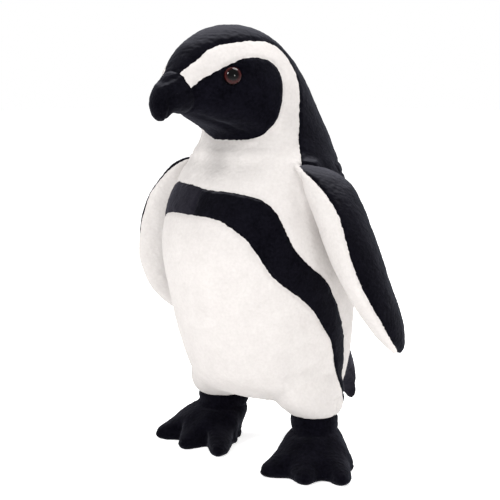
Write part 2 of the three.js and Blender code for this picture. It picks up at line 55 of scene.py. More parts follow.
# [height, centre y, half width, front depth, back depth, taper of the front]
BODY = [
    [43.5, 4, 30, 28, 28, 0], [45.0, 4, 42, 38, 38, 0], [48.5, 4, 50, 45, 45.5, 0],
    [53.0, 4, 54.5, 49.5, 51, 0], [60.0, 4, 57, 52, 53, 0], [77.5, 2, 60, 57, 57, 0],
    [93.0, 0, 62, 59.5, 59.5, 0], [107.0, -1.7, 63.5, 61, 61, 0], [125.0, -4.5, 65.5, 63, 62, 0],
    [143.0, -7, 66.5, 64, 62.5, 0], [162.0, -8.5, 66, 62, 61.5, 0], [178.0, -8, 64, 58, 60, 0],
    [192.0, -5, 61, 53, 55.5, 0], [204.0, -1, 55.5, 47.5, 48, 0], [214.0, -1, 48.5, 45, 46.5, 0],
    [223.0, -3, 44, 42, 46.5, 0.2], [230.0, -6, 42, 46, 46.5, 0.35], [237.0, -10, 41, 59, 46, 0.42],
    [246.0, -15, 40.5, 68.5, 46, 0.45], [256.0, -20, 39.5, 66, 45.5, 0.45],
    [264.0, -23.5, 37.5, 61, 43.5, 0.4], [273.0, -27.5, 34.5, 53, 41, 0.3],
    [282.0, -31, 28.5, 43, 35.5, 0.2], [289.0, -33, 21.5, 31.5, 27.5, 0.1],
    [293.5, -34, 14, 19.5, 18, 0], [296.0, -34.5, 6, 8, 8, 0],
]
# [y, z, lean of the section in degrees, half height, half width]
BEAK = [
    [-55, 255, 0, 21, 26], [-66, 255, 0, 18, 19], [-76, 254.5, 8, 15.5, 14.5],
    [-84.5, 252, 25, 13.5, 12], [-91, 248, 48, 11, 10], [-94.8, 243, 72, 8, 7.5],
    [-94.8, 238.5, 92, 5.5, 5.5], [-93, 235.8, 105, 3, 3],
]
# [z, leading edge x, y, trailing edge x, y, thickness, wrap of the inner panel round the leading edge]
WING = [
    [207, 50, -26, 48, -13, 8, 3], [204, 58, -28.5, 51, 0, 14, 2], [199, 65.5, -30, 53.5, 11, 21, 3.5],
    [190, 74.5, -31.5, 60.5, 16, 26, 6.5], [178, 85.5, -32.5, 67, 14.5, 29, 7],
    [163, 94.5, -31.5, 73, 13.5, 30, 4.5], [149, 101, -29.5, 78, 14, 30, 2.4],
    [130, 106.5, -25.5, 86.5, 17, 27, 3.4], [110, 110.5, -15, 95, 22, 22, 4.6],
    [96, 111, -3, 100, 23, 16, 3.4], [88, 109.5, 7, 103.5, 20, 10, 2.2], [84, 107, 13, 105, 17, 4, 1],
]
RIGHT_SEAM_IN = 5.0       # how much less the inner panel of the right wing wraps round its leading edge
# [y, z, half width, half thickness, lean to the left, below zero to the right]
TAIL = [
    [48, 61, 23, 15, 0], [60, 60, 22, 14.5, 0], [71, 54.5, 19.3, 12.5, -0.6], [80, 47, 15.6, 10, -1.4],
    [86, 38.5, 12.3, 7.5, -1], [89.5, 30, 8.5, 5, 1], [90.5, 21.5, 3, 3, 4.8],
]
TAIL_TILT = 0.6           # how far the sections of the tail lean back, mm per mm of height
# [height, radius, shift towards the middle]
LEG = [[34.5, 16.5, 0], [37.5, 19.5, 0.5], [41.5, 23, 3], [46.5, 26, 6], [54, 28, 10], [62, 27, 14]]
ANKLE = {1: (46, 1.6), -1: (43, -1)}      # left and right foot, distance from the middle and y
ANKLE_R = 15.5
CUFF_TOP = 34.2
CUFF_BOTTOM = 25          # seam between ankle cuff and foot
SOLE_EDGE = 4.5           # seam between foot top and sole
# [height, share of the way from the ankle circle to the outline of the sole]
FOOT = [[0.0, 0.90], [1.5, 0.97], [4.5, 1.0], [8.0, 0.90], [12, 0.72], [17, 0.47], [23, 0.22], [29, 0.03],
        [CUFF_TOP, 0.0]]
# [degrees outward from straight ahead, reach from the ankle], left foot and right foot
SOLE = {
    1: [[-75, 18], [-46, 20.5], [-24, 29], [-1, 50.5], [18, 43], [35.5, 52.5], [47, 44.5], [53, 45],
        [62, 56.5], [88, 34], [125, 24], [185, 17], [250, 17]],
    -1: [[-135, 14], [-95, 14], [-66, 24.5], [-43, 55], [-25, 31.5], [-8, 46], [17, 34], [35, 49],
         [66, 41], [100, 29], [150, 18]],
}
TOE_NOTCHES = {1: (18, 50), -1: (-25, 17)}
WEB_SPREAD = 26           # degrees over which the toes melt into the web further up
WEB_STEPS = (-1, -0.6, -0.2, 0.2, 0.6, 1)     # shares of that spread whose outlines are averaged
WEB_HEIGHTS = (5, 17)     # the outline of the toes fades between these heights
# crease between two toes: where it starts from the ankle and how far it runs, height and fall, width, depth
TOE_CREASE_START, TOE_CREASE_RUN = 25, 18
TOE_CREASE_TOP, TOE_CREASE_FALL = 15, 10
TOE_CREASE_WIDTH, TOE_CREASE_DEPTH = 3.0, 1.6
# the crease below each cuff, and what the foot swells beside it, all in mm
RING_Z, RING_DEPTH = 24.5, 0.9
ANKLE_SHAPE = {
    1: {"rise": 0, "width": 2.6, "deeper": 1.5, "flare": 0.3, "instep": 0, "heel": 0},
    -1: {"rise": 3, "width": 2.4, "deeper": 0, "flare": 1.2, "instep": 1.8, "heel": 3.8},
}
ANKLE_REACH = 20          # diagonal distance from the ankle at which front or back counts fully
FLARE_HEIGHTS, HEEL_HEIGHTS = (27, 33), (5, 24)
INSTEP_Z, INSTEP_REACH = 17, 6
EYE_AT = (27.2, -57.6, 264)
EYE_AXIS = Vector((0.74, -0.62, 0.26)).normalized()
EYE_RADIUS = 6.0
EYE_PLACE = np.array([EYE_AT[0], EYE_AT[1] + Y_SHIFT, EYE_AT[2]])
# radius and height along the eye's axis, behind the dome; then the dome's foot and height
EYE_BACK = [(5.3, -2.0), (5.9, -1.4), (EYE_RADIUS, -0.6)]
DOME_FOOT, DOME_HEIGHT = -0.4, 4.3

# points round, rings
BODY_GRID = (120, 180)
BEAK_GRID = (64, 50)
LEG_GRID = (64, 30)
FOOT_GRID = (180, 40)
WING_GRID = (64, 90)
TAIL_GRID = (48, 40)
EYE_GRID = (48, 18)

# ------------------------------------------------------------------ seams, side view [y, z]
BEAK_SEAM = [[-90, 275], [-84.5, 264.5], [-83, 260], [-80, 255.5], [-77, 249], [-76.5, 242], [-80, 232]]
CROWN_SEAM = [
    [-100, 258], [-84.5, 264.3], [-76, 271.5], [-68, 279.3], [-60.5, 283.2], [-51, 285], [-37, 286.2],
    [-22, 285.2], [-12, 281], [-6, 272], [-4.5, 260], [-8, 246], [-10, 230], [-13.5, 216],
    [-17.5, 207], [-19, 200], [-6, 196], [14, 196], [30, 199], [80, 199],
]
MASK_SEAM = [
    [-85, 253], [-79, 257.5], [-71, 263.7], [-59, 271], [-47, 275.5], [-35, 275], [-26.5, 270.5],
    [-23.3, 260], [-24.5, 247], [-27, 235], [-31, 226.5], [-38, 222.5], [-51, 221.7], [-62, 221],
]
THROAT_RISE = 4.5         # mm, how much higher the mask ends on the right side of the throat
# that rise sets in towards the right, towards the front and downwards: ramps over -x, -y and -z
THROAT_RAMPS = ((4, 20), (24, 32), (-240, -228))
BAND_RISE = 1.8           # mm, how much higher the band's top edge runs on the right side
BAND_EDGE_Z = 180         # rows of the top edge above this height are raised
BAND_TOP = [
    [-80, 190], [-60, 190], [-53, 188], [-47, 185], [-42.5, 177], [-39, 165], [-34, 153], [-24, 142],
    [-11, 132], [-0.3, 119], [9, 105], [16.3, 91], [20.7, 77], [23, 60], [23, 38],
]
BAND_BOTTOM = [
    [-80, 173.2], [-67, 173], [-62.3, 166.5], [-57.3, 158.6], [-52, 146.6], [-44.9, 134.4],
    [-31.3, 122.7], [-18.2, 111.4], [-8.4, 99.3], [1.5, 86.5], [7.5, 72.6], [13.3, 60.3], [16.4, 48],
    [16.2, 38],
]
BACK_SEAM = [
    [14, 206], [19, 196], [26, 186], [33, 170], [38.5, 150], [42, 120], [41, 85], [36, 70], [31, 58],
    [27, 38],
]
RIGHT_BAND_BACK = 12      # mm, how much further back the band sits on the right side of the chest
BAND_BACK_Y = (-70, -62)  # that shift sets in between these values of y
BAND_BACK_Z = (110, 160)  # and between these heights
BAND_TURN = (-6, 14)      # over these values of -x the left outline of the band turns into the right one
UNDERSIDE_Z = 47          # seam between the back and the underside
CROTCH_Y = 4              # seam between the belly and the underside
TAIL_SEAM = [[40, 62.5], [60, 56], [72, 49], [82, 41], [88.5, 34], [93, 27.5], [100, 18]]
# corners that close each outline
BEAK_CLOSE = [[-130, 225], [-130, 280]]
CROWN_CLOSE = [[80, 320], [-100, 320]]
MASK_CLOSE = [[-90, 221], [-95, 250]]
BELLY_CLOSE = [[22, UNDERSIDE_Z], [CROTCH_Y, UNDERSIDE_Z], [CROTCH_Y, 20], [-90, 20]]
BACK_CLOSE = [[100, 38], [100, 206]]
UNDERSIDE = [[CROTCH_Y, 20], [100, 20], [100, UNDERSIDE_Z], [CROTCH_Y, UNDERSIDE_Z]]
TAIL_CLOSE = [[120, 120], [40, 120]]
PER_STRETCH = 5           # points per stretch when an outline is smoothed
RIGHT_WRAP_HEIGHTS = (145, 165)           # RIGHT_SEAM_IN sets in between these heights

# ------------------------------------------------------------------ folds and mounds of the torso
# in the shared frame; a crease has start, end, width, depth, a mound has centre, reach, rise in mm
EYE_HOLLOW, EYE_HOLLOW_REACH = 1.6, 7.0
BROW = ((12, -70, 271), (13, 13, 13), 1.3)                      # on both sides
BRIDGE = ((10, -75, 266), (7.5, 7.5, 7.5), 2.6)                 # on both sides
CROWN = ((0, -14, 290), (34, 26, 20), 1.1)
HEM = ((12, -38, 48), (26, 22, 9), -4.2)                        # a dent
LEFT_CALF = ((70, 12, 52), (12, 16, 14), -3.2)                  # a dent
DART = ((7, 239), (21, 226), 2.6, 1.1)                          # front view [x, z], on both sides
CENTRE_SEAM = ((0, 174), (0, 190), 1.5, 0.9)                    # front view [x, z]
LEG_FOLDS = [((-26, 60), (-6, 73), 3.4, 1.3), ((-30, 74), (-14, 92), 5, 0.7)]            # side view [y, z]
NECK_FOLDS = [((-46, 216), (-8, 219), 3.2, 0.8), ((-50, 205), (-22, 210), 3.6, 0.6)]     # side view [y, z]
FRONT_Y = -20             # the creases of the front view lie in front of this
SIDE_X = 20               # the folds of the side view lie further out than this
# cloth drawn out to the shoulders: reach and rise of the fillet, its root on the wing, its zone
FILLET_REACH = 9.0
FILLET_RISE = 3.0
FILLET_ROOT_Z, FILLET_ROOT_Y = 176, -4
FILLET_X, FILLET_Y = 35, 4
FILLET_LOW = (172, 186)   # fades in over these heights
FILLET_HIGH = (208, 216)  # and out over these


# ------------------------------------------------------------------ curves and lofts
def spline(points, count):
    """Uniform Catmull-Rom curve through rows of numbers."""
    p = np.asarray(points, float)
    n = len(p) - 1
    t = np.linspace(0, n, count + 1)
    i = np.clip(t.astype(int), 0, n - 1)
    u = (t - i)[:, None]
    p0, p1, p2, p3 = p[np.maximum(i - 1, 0)], p[i], p[i + 1], p[np.minimum(i + 2, n)]
    v0, v1 = (p2 - p0) / 2, (p3 - p1) / 2
    return (2 * p1 - 2 * p2 + v0 + v1) * u**3 + (-3 * p1 + 3 * p2 - 2 * v0 - v1) * u**2 + v0 * u + p1


def loft(rings):
    """Closed skin through rings of equal length: vertices and quads, ends closed by fans."""
    n = len(rings[0])
    ends = [np.mean(rings[0], 0), np.mean(rings[-1], 0)]
    verts = np.concatenate([np.asarray(rings, float).reshape(-1, 3), ends])
    k = np.arange(n)
    nxt = (k + 1) % n
    faces = []
    for i in range(len(rings) - 1):
        a = i * n
        faces += np.stack([a + k, a + nxt, a + n + nxt, a + n + k], 1).tolist()
    first, last, top = len(verts) - 2, len(verts) - 1, (len(rings) - 1) * n
    faces += [[first, b, a] for a, b in zip(k.tolist(), nxt.tolist())]
    faces += [[last, top + a, top + b] for a, b in zip(k.tolist(), nxt.tolist())]
    return verts, faces


def merge(*parts):
    """One list of vertices and faces out of several."""
    verts, faces, start = [], [], 0
    for v, f in parts:
        verts.append(v)
        faces += [[i + start for i in face] for face in f]
        start += len(v)
    return np.concatenate(verts), faces


def mirror(part):
    v, f = part
    return v * [-1, 1, 1], [face[::-1] for face in f]


def circle(count):
    return np.linspace(0, 2 * np.pi, count, endpoint=False)


def body_part():
    angle = circle(BODY_GRID[0])
    c, s = np.cos(angle), np.sin(angle)
    rings = []
    for z, yc, half, front, back, taper in spline(BODY, BODY_GRID[1]):
        narrow = np.where(c > 0, 1 - taper * c * c, 1)
        depth = np.where(c > 0, front, back)
        rings.append(np.stack([half * s * narrow, yc - depth * c, np.full_like(c, z)], 1))
    return loft(rings)


def beak_part():
    angle = circle(BEAK_GRID[0])
    rings = []
    for y, z, lean, high, wide in spline(BEAK, BEAK_GRID[1]):
        up = np.array([0, -math.sin(math.radians(lean)), math.cos(math.radians(lean))])
        ring = np.stack([wide * np.sin(angle), np.full_like(angle, y), np.full_like(angle, z)], 1)
        rings.append(ring + high * np.cos(angle)[:, None] * up)
    return loft(rings)


def leg_part(side):
    angle = circle(LEG_GRID[0])
    x, y = ANKLE[side]
    rings = []
    for z, r, shift in spline(LEG, LEG_GRID[1]):
        across, ahead = x - shift + r * np.sin(angle), y - r * np.cos(angle)
        rings.append(np.stack([across, ahead, np.full_like(angle, z)], 1))
    return loft(rings) if side > 0 else mirror(loft(rings))


def ramp(x, low, high):
    return np.clip((x - low) / (high - low), 0, 1)


def smoothstep(x, low, high):
    t = ramp(x, low, high)
    return t * t * (3 - 2 * t)


def sole_reach(degrees, side):
    """Outline of the sole, eased from each row of its table to the next."""
    rows = np.array([*SOLE[side], [SOLE[side][0][0] + 360, SOLE[side][0][1]]], float)
    turned = rows[0, 0] + (degrees - rows[0, 0]) % 360
    k = np.clip(np.searchsorted(rows[:, 0], turned, side="right"), 1, len(rows) - 1)
    a, b = rows[k - 1], rows[k]
    return a[:, 1] + (b[:, 1] - a[:, 1]) * smoothstep(turned, a[:, 0], b[:, 0])


def web_reach(degrees, side):
    return np.mean([sole_reach(degrees + t * WEB_SPREAD, side) for t in WEB_STEPS], axis=0)


def foot_part(side):
    degrees = np.linspace(0, 360, FOOT_GRID[0], endpoint=False)
    sole, web = sole_reach(degrees, side), web_reach(degrees, side)
    angle = np.radians(degrees)
    x, y = ANKLE[side]
    rings = []
    for z, share in spline(FOOT, FOOT_GRID[1]):
        fade = smoothstep(z, *WEB_HEIGHTS)
        r = ANKLE_R + share * ((1 - fade) * sole + fade * web - ANKLE_R)
        across, ahead = side * (x + r * np.sin(angle)), y - r * np.cos(angle)
        rings.append(np.stack([across, ahead, np.full_like(r, max(0, z))], 1))
    v, f = loft(rings)
    return (v, f) if side > 0 else (v, [face[::-1] for face in f])


def wing_part():
    angle = circle(WING_GRID[0])
    rings = []
    for z, lx, ly, tx, ty, thick, _ in spline(WING, WING_GRID[1]):
        lead, trail = np.array([lx, ly, z]), np.array([tx, ty, z])
        half = (lead - trail) / 2
        out = np.array([-half[1], half[0], 0]) / np.linalg.norm(half) * thick / 2
        rings.append((lead + trail) / 2 + np.cos(angle)[:, None] * half + np.sin(angle)[:, None] * out)
    v, f = loft(rings)
    return v, [face[::-1] for face in f]


def tail_part():
    angle = circle(TAIL_GRID[0])
    rings = []
    for y, z, wide, thick, lean in spline(TAIL, TAIL_GRID[1]):
        up = thick * np.cos(angle)
        rings.append(np.stack([lean + wide * np.sin(angle), y + TAIL_TILT * up, z + up], 1))
    return loft(rings)


# ------------------------------------------------------------------ meshes
def new_object(name, verts, faces, material=None):
    """Object from millimetre vertices."""
    mesh = bpy.data.meshes.new(name)
    rows = faces if isinstance(faces, list) else faces.tolist()
    mesh.from_pydata((np.asarray(verts) * MM).tolist(), [], rows)
    mesh.validate()
    obj = bpy.data.objects.new(name, mesh)
    bpy.context.scene.collection.objects.link(obj)
    if material:
        mesh.materials.append(material)
    return obj


def arrays(mesh):
    """Millimetre vertices and triangles."""
    co = np.zeros(len(mesh.vertices) * 3)
    mesh.vertices.foreach_get("co", co)
    mesh.calc_loop_triangles()
    tris = np.zeros(len(mesh.loop_triangles) * 3, np.int64)
    mesh.loop_triangles.foreach_get("vertices", tris)
    return co.reshape(-1, 3) / MM, tris.reshape(-1, 3)


def apply_modifiers(obj):
    depsgraph = bpy.context.evaluated_depsgraph_get()
    mesh = bpy.data.meshes.new_from_object(obj.evaluated_get(depsgraph))
    obj.modifiers.clear()
    obj.data = mesh


def remesh(obj, size):
    m = obj.modifiers.new("remesh", "REMESH")
    m.mode = "VOXEL"
    m.voxel_size = size * MM
    m.use_smooth_shade = True
    apply_modifiers(obj)


def subdivide(obj):
    m = obj.modifiers.new("subdivide", "SUBSURF")
    m.levels = m.render_levels = 1
    apply_modifiers(obj)


def edges_of(tris):
    e = np.sort(np.concatenate([tris[:, [0, 1]], tris[:, [1, 2]], tris[:, [2, 0]]]), axis=1)
    return np.unique(e, axis=0)


TAUBIN_STEPS = (0.55, -0.57)
RELAX_ROUNDS = 3


def relax(v, edges):
    """Taubin smoothing, which keeps the volume."""
    count = np.bincount(edges.ravel(), minlength=len(v))[:, None]
    for i in range(RELAX_ROUNDS * 2):
        total = np.zeros_like(v)
        for c in range(3):
            total[:, c] = (np.bincount(edges[:, 0], v[edges[:, 1], c], len(v))
                           + np.bincount(edges[:, 1], v[edges[:, 0], c], len(v)))
        v = v + (total / np.maximum(count, 1) - v) * TAUBIN_STEPS[i % 2]
    return v


def normals_of(v, tris):
    face = np.cross(v[tris[:, 1]] - v[tris[:, 0]], v[tris[:, 2]] - v[tris[:, 0]])
    n = np.zeros_like(v)
    for k in range(3):
        for c in range(3):
            n[:, c] += np.bincount(tris[:, k], face[:, c], len(v))
    return n / np.maximum(np.linalg.norm(n, axis=1), 1e-12)[:, None]


# ------------------------------------------------------------------ noise
HASH_PRIMES = (374761393, 668265263, 2147483647, 1274126177)
HASH_MIX = 1103515245
BITS_32 = 0xFFFFFFFF
BITS_16 = 0xFFFF


def lattice(i, j, k, seed):
    """Repeatable value from -1 to 1 at a lattice point, by an integer hash."""
    h = sum(n * prime for n, prime in zip((i, j, k, seed), HASH_PRIMES)) & BITS_32
    h = ((h ^ (h >> 13)) * HASH_MIX) & BITS_32
    return ((h ^ (h >> 16)) & BITS_16) / (BITS_16 / 2) - 1


def noise(p, size, seed=0):
    """Smooth value noise from -1 to 1, its cells `size` mm across."""
    q = p / size
    f = np.floor(q)
    u = q - f
    u = u * u * (3 - 2 * u)
    f = f.astype(np.int64)
    out = 0
    for corner in itertools.product((0, 1), repeat=3):
        share = np.prod(np.where(corner, u, 1 - u), axis=1)
        out = out + share * lattice(*(f + corner).T, seed)
    return out


# ------------------------------------------------------------------ seam fields
def signed_distance(p, outline):
    """Distance from points (n, 2) to a closed outline, negative inside."""
    o = np.asarray(outline, float)
    best = np.full(len(p), 1e9)
    inside = np.zeros(len(p), bool)
    for a, b in zip(o, np.roll(o, -1, 0)):
        d = b - a
        t = np.clip(((p - a) @ d) / max(d @ d, 1e-12), 0, 1)
        best = np.minimum(best, np.linalg.norm(p - a - t[:, None] * d, axis=1))
        crosses = (a[1] > p[:, 1]) != (b[1] > p[:, 1])
        at = a[0] + (p[:, 1] - a[1]) / (d[1] if abs(d[1]) > 1e-12 else 1e-12) * d[0]
        inside ^= crosses & (p[:, 0] < at)
    return np.where(inside, -best, best)


def shifted_back(rows):
    """The band sits further back on the right side of the chest, by up to RIGHT_BAND_BACK mm."""
    shift = [RIGHT_BAND_BACK * smoothstep(y, *BAND_BACK_Y) * smoothstep(z, *BAND_BACK_Z) for y, z in rows]
    return [[y + s, z] for (y, z), s in zip(rows, shift)]


def fine(points):
    """Smoothed outline."""
    return spline(points, (len(points) - 1) * PER_STRETCH).tolist()


def panel_fields(v):
    """Name and signed field of every torso panel, negative on the panel, in the order they are cut."""
    p = v[:, 1:] - [Y_SHIFT, 0]
    beak = signed_distance(p, fine(BEAK_SEAM) + BEAK_CLOSE)
    crown = signed_distance(p, fine(CROWN_SEAM) + CROWN_CLOSE)
    across, ahead, down = THROAT_RAMPS
    right_throat = ramp(-v[:, 0], *across) * ramp(-p[:, 0], *ahead) * ramp(-p[:, 1], *down)
    lifted = p - np.stack([0 * right_throat, THROAT_RISE * right_throat], 1)
    cheek = signed_distance(lifted, fine(MASK_SEAM) + MASK_CLOSE)
    band, belly = [], []
    raised = [[y, z + BAND_RISE * (z > BAND_EDGE_Z)] for y, z in BAND_TOP]
    for top, bottom in ((BAND_TOP, BAND_BOTTOM), (shifted_back(raised), shifted_back(BAND_BOTTOM))):
        band.append(signed_distance(p, fine(top) + fine(bottom)[::-1]))
        belly.append(signed_distance(p, fine(bottom)[:-PER_STRETCH] + BELLY_CLOSE))
    right_share = ramp(-v[:, 0], *BAND_TURN)
    band = band[0] + (band[1] - band[0]) * right_share
    belly = belly[0] + (belly[1] - belly[0]) * right_share
    back = signed_distance(p, fine(BACK_SEAM) + BACK_CLOSE)
    underside = signed_distance(p, UNDERSIDE)
    return {"beak": beak, "crown": crown, "cheek": cheek, "band": band, "underside": underside,
            "belly": belly, "back": back}


def seam_distance(values):
    """Distance to the nearest of the seams that the fields describe."""
    return np.min(np.abs(np.stack(list(values.values()))), axis=0)


TINY = 1e-6               # mm, no point lies exactly on a seam


def split(v, tris, field, carried):
    """Cuts triangles where field is zero.

    Returns the vertices, the triangles below zero, those above zero, and the carried columns.
    """
    f = field.copy()
    f[np.abs(f) < TINY] = TINY
    low = f[tris] < 0
    count = low.sum(1)
    below, above, mixed = tris[count == 3], tris[count == 0], tris[(count > 0) & (count < 3)]
    mixed_low = low[(count > 0) & (count < 3)]
    lone = np.where(mixed_low.sum(1) == 1, mixed_low.argmax(1), (~mixed_low).argmax(1))
    rows = np.arange(len(mixed))
    a, b, c = mixed[rows, lone], mixed[rows, (lone + 1) % 3], mixed[rows, (lone + 2) % 3]
    pairs = np.sort(np.concatenate([np.stack([a, b], 1), np.stack([a, c], 1)]), axis=1)
    unique, index = np.unique(pairs, axis=0, return_inverse=True)
    index = index.reshape(-1)
    t = (f[unique[:, 0]] / (f[unique[:, 0]] - f[unique[:, 1]]))[:, None]
    fresh = v[unique[:, 0]] * (1 - t) + v[unique[:, 1]] * t
    carried = np.concatenate([carried, carried[unique[:, 0]] * (1 - t) + carried[unique[:, 1]] * t])
    ab, ac = len(v) + index[:len(mixed)], len(v) + index[len(mixed):]
    tip = np.stack([a, ab, ac], 1)
    base = np.concatenate([np.stack([ab, b, c], 1), np.stack([ab, c, ac], 1)])
    lone_low = mixed_low.sum(1) == 1
    twice = np.concatenate([lone_low, lone_low])
    below = np.concatenate([below, tip[lone_low], base[~twice]])
    above = np.concatenate([above, tip[~lone_low], base[twice]])
    return np.concatenate([v, fresh]), below, above, carried


def compact(v, tris):
    """Drops the vertices that no triangle uses."""
    used, index = np.unique(tris, return_inverse=True)
    return v[used], index.reshape(-1, 3)


# ------------------------------------------------------------------ materials
def principled(name):
    material = bpy.data.materials.new(name)
    material.use_nodes = True
    tree = material.node_tree
    return material, tree, tree.nodes["Principled BSDF"]


GRAIN_SCALE = 520         # nubs of about 2 mm
NAP_SCALE = 95            # patches of nap about 1 cm across
NOISE_DETAIL = 3
GRAIN_ROUGHNESS = 0.65
GRAIN_SHARE, NAP_SHARE = 0.6, 0.4
RAMP_DARK, RAMP_LIGHT = 0.36, 0.64        # noise values that get the dark and the light colour
PAINTED_LIGHT_FROM, PAINTED_LIGHT_FULL = 0.62, 1.0            # upward part of the normal over which the painted top light sets in: paler colour where the fabric faces up
PILE_BUMP = 0.0009        # m
PLUSH_ROUGHNESS = 0.85
SHEEN_ROUGHNESS = 0.45
MIX_A, MIX_B, MIX_RESULT = 6, 7, 2        # colour sockets of the Mix node


def plush(name, dark, light, sheen, sheen_tint, bump, top=None):
    """Short pile: mottled by the lie of the nap, with a fine nubby grain.

    With a top colour it gets painted top light: paler on the parts of the unposed fabric that face up.
    """
    material, tree, shader = principled(name)
    nodes, links = tree.nodes, tree.links
    place = nodes.new("ShaderNodeTexCoord")
    grain = nodes.new("ShaderNodeTexNoise")
    grain.inputs["Scale"].default_value = GRAIN_SCALE
    grain.inputs["Detail"].default_value = NOISE_DETAIL
    grain.inputs["Roughness"].default_value = GRAIN_ROUGHNESS
    nap = nodes.new("ShaderNodeTexNoise")
    nap.inputs["Scale"].default_value = NAP_SCALE
    nap.inputs["Detail"].default_value = NOISE_DETAIL
    links.new(place.outputs["Object"], grain.inputs["Vector"])
    links.new(place.outputs["Object"], nap.inputs["Vector"])
    both = nodes.new("ShaderNodeMath")
    both.operation = "MULTIPLY_ADD"
    both.inputs[1].default_value = GRAIN_SHARE
    links.new(grain.outputs["Fac"], both.inputs[0])
    nap_part = nodes.new("ShaderNodeMath")
    nap_part.operation = "MULTIPLY"
    nap_part.inputs[1].default_value = NAP_SHARE
    links.new(nap.outputs["Fac"], nap_part.inputs[0])
    links.new(nap_part.outputs["Value"], both.inputs[2])
    shades = nodes.new("ShaderNodeValToRGB")
    shades.color_ramp.elements[0].position = RAMP_DARK
    shades.color_ramp.elements[0].color = (*dark, 1)
    shades.color_ramp.elements[1].position = RAMP_LIGHT
    shades.color_ramp.elements[1].color = (*light, 1)
    links.new(both.outputs["Value"], shades.inputs["Fac"])
    colour = shades.outputs["Color"]
    # painted top light: the colour turns towards the top colour where the unposed normal faces up
    if top is not None:
        parts = nodes.new("ShaderNodeSeparateXYZ")
        links.new(place.outputs["Normal"], parts.inputs[0])
        up = nodes.new("ShaderNodeMapRange")
        up.interpolation_type = "SMOOTHSTEP"
        up.inputs["From Min"].default_value = PAINTED_LIGHT_FROM
        up.inputs["From Max"].default_value = PAINTED_LIGHT_FULL
        links.new(parts.outputs["Z"], up.inputs["Value"])
        painted_light_mix = nodes.new("ShaderNodeMix")
        painted_light_mix.data_type = "RGBA"
        links.new(up.outputs["Result"], painted_light_mix.inputs["Factor"])
        links.new(colour, painted_light_mix.inputs[MIX_A])
        painted_light_mix.inputs[MIX_B].default_value = (*top, 1)
        colour = painted_light_mix.outputs[MIX_RESULT]
    links.new(colour, shader.inputs["Base Color"])
    bumper = nodes.new("ShaderNodeBump")
    bumper.inputs["Strength"].default_value = bump
    bumper.inputs["Distance"].default_value = PILE_BUMP
    links.new(both.outputs["Value"], bumper.inputs["Height"])
    links.new(bumper.outputs["Normal"], shader.inputs["Normal"])
    shader.inputs["Roughness"].default_value = PLUSH_ROUGHNESS
    shader.inputs["Specular IOR Level"].default_value = 0.0
    shader.inputs["Sheen Weight"].default_value = sheen
    shader.inputs["Sheen Roughness"].default_value = SHEEN_ROUGHNESS
    shader.inputs["Sheen Tint"].default_value = (*sheen_tint, 1)
    return material


PUPIL = (0.0008, 0.0008, 0.0008)
# share of the eye's radius, colour
EYE_RINGS = [
    (0.0, PUPIL), (0.56, PUPIL), (0.66, (0.016, 0.0018, 0.0018)), (0.84, (0.034, 0.0036, 0.0036)),
    (0.95, (0.002, 0.001, 0.001)),
]
EYE_ROUGHNESS = 0.06
EYE_IOR = 1.26            # lower than real plastic, for a fainter reflection


def eye_material():
    """Black pupil, red-brown iris and black rim, by distance from the eye's own axis."""
    material, tree, shader = principled("eye_dome")
    nodes, links = tree.nodes, tree.links
    place = nodes.new("ShaderNodeTexCoord")
    mirror_x = nodes.new("ShaderNodeVectorMath")
    mirror_x.operation = "ABSOLUTE"
    links.new(place.outputs["Object"], mirror_x.inputs[0])
    # absolute values turn both eyes into the same octant: x and -y become positive
    centre = Vector((EYE_PLACE[0], -EYE_PLACE[1], EYE_PLACE[2])) * MM
    axis = Vector((EYE_AXIS.x, -EYE_AXIS.y, EYE_AXIS.z))
    from_centre = nodes.new("ShaderNodeVectorMath")
    from_centre.operation = "SUBTRACT"
    from_centre.inputs[1].default_value = centre
    links.new(mirror_x.outputs["Vector"], from_centre.inputs[0])
    cross = nodes.new("ShaderNodeVectorMath")
    cross.operation = "CROSS_PRODUCT"
    cross.inputs[1].default_value = axis
    links.new(from_centre.outputs["Vector"], cross.inputs[0])
    length = nodes.new("ShaderNodeVectorMath")
    length.operation = "LENGTH"
    links.new(cross.outputs["Vector"], length.inputs[0])
    share = nodes.new("ShaderNodeMath")
    share.operation = "DIVIDE"
    share.inputs[1].default_value = EYE_RADIUS * MM
    links.new(length.outputs["Value"], share.inputs[0])
    rings = nodes.new("ShaderNodeValToRGB")
    elements = rings.color_ramp.elements
    for element, (position, colour) in zip(elements, (EYE_RINGS[0], EYE_RINGS[-1])):
        element.position = position
        element.color = (*colour, 1)
    for position, colour in EYE_RINGS[1:-1]:
        elements.new(position).color = (*colour, 1)
    links.new(share.outputs["Value"], rings.inputs["Fac"])
    links.new(rings.outputs["Color"], shader.inputs["Base Color"])
    shader.inputs["Roughness"].default_value = EYE_ROUGHNESS
    shader.inputs["IOR"].default_value = EYE_IOR
    return material


# the top colour of black_plush is painted top light
black_plush = plush("black_plush", dark=(0.0013, 0.0012, 0.0022), light=(0.0046, 0.0043, 0.0070),
                    sheen=0.08, sheen_tint=(0.84, 0.86, 1.0), bump=0.8, top=(0.043, 0.0425, 0.050))
# a darker copy of the black plush without the painted top light: painted shade on the cheeks and the feet
painted_shade_plush = plush("painted_shade_plush", dark=(0.0010, 0.0009, 0.0018), light=(0.0042, 0.0039, 0.0068),
                   sheen=0.08, sheen_tint=(0.82, 0.84, 1.0), bump=0.7)
# a lighter copy of the black plush: painted light on the right half of the chest band and on the tail
painted_light_plush = plush("painted_light_plush", dark=(0.0062, 0.0058, 0.0088), light=(0.0125, 0.0118, 0.0168),
                      sheen=0.10, sheen_tint=(0.88, 0.86, 1.0), bump=0.5)
white_plush = plush("white_plush", dark=(0.522, 0.495, 0.480), light=(0.578, 0.550, 0.534),
                    sheen=0.04, sheen_tint=(1.0, 0.98, 0.97), bump=0.35)
eye_gloss = eye_material()


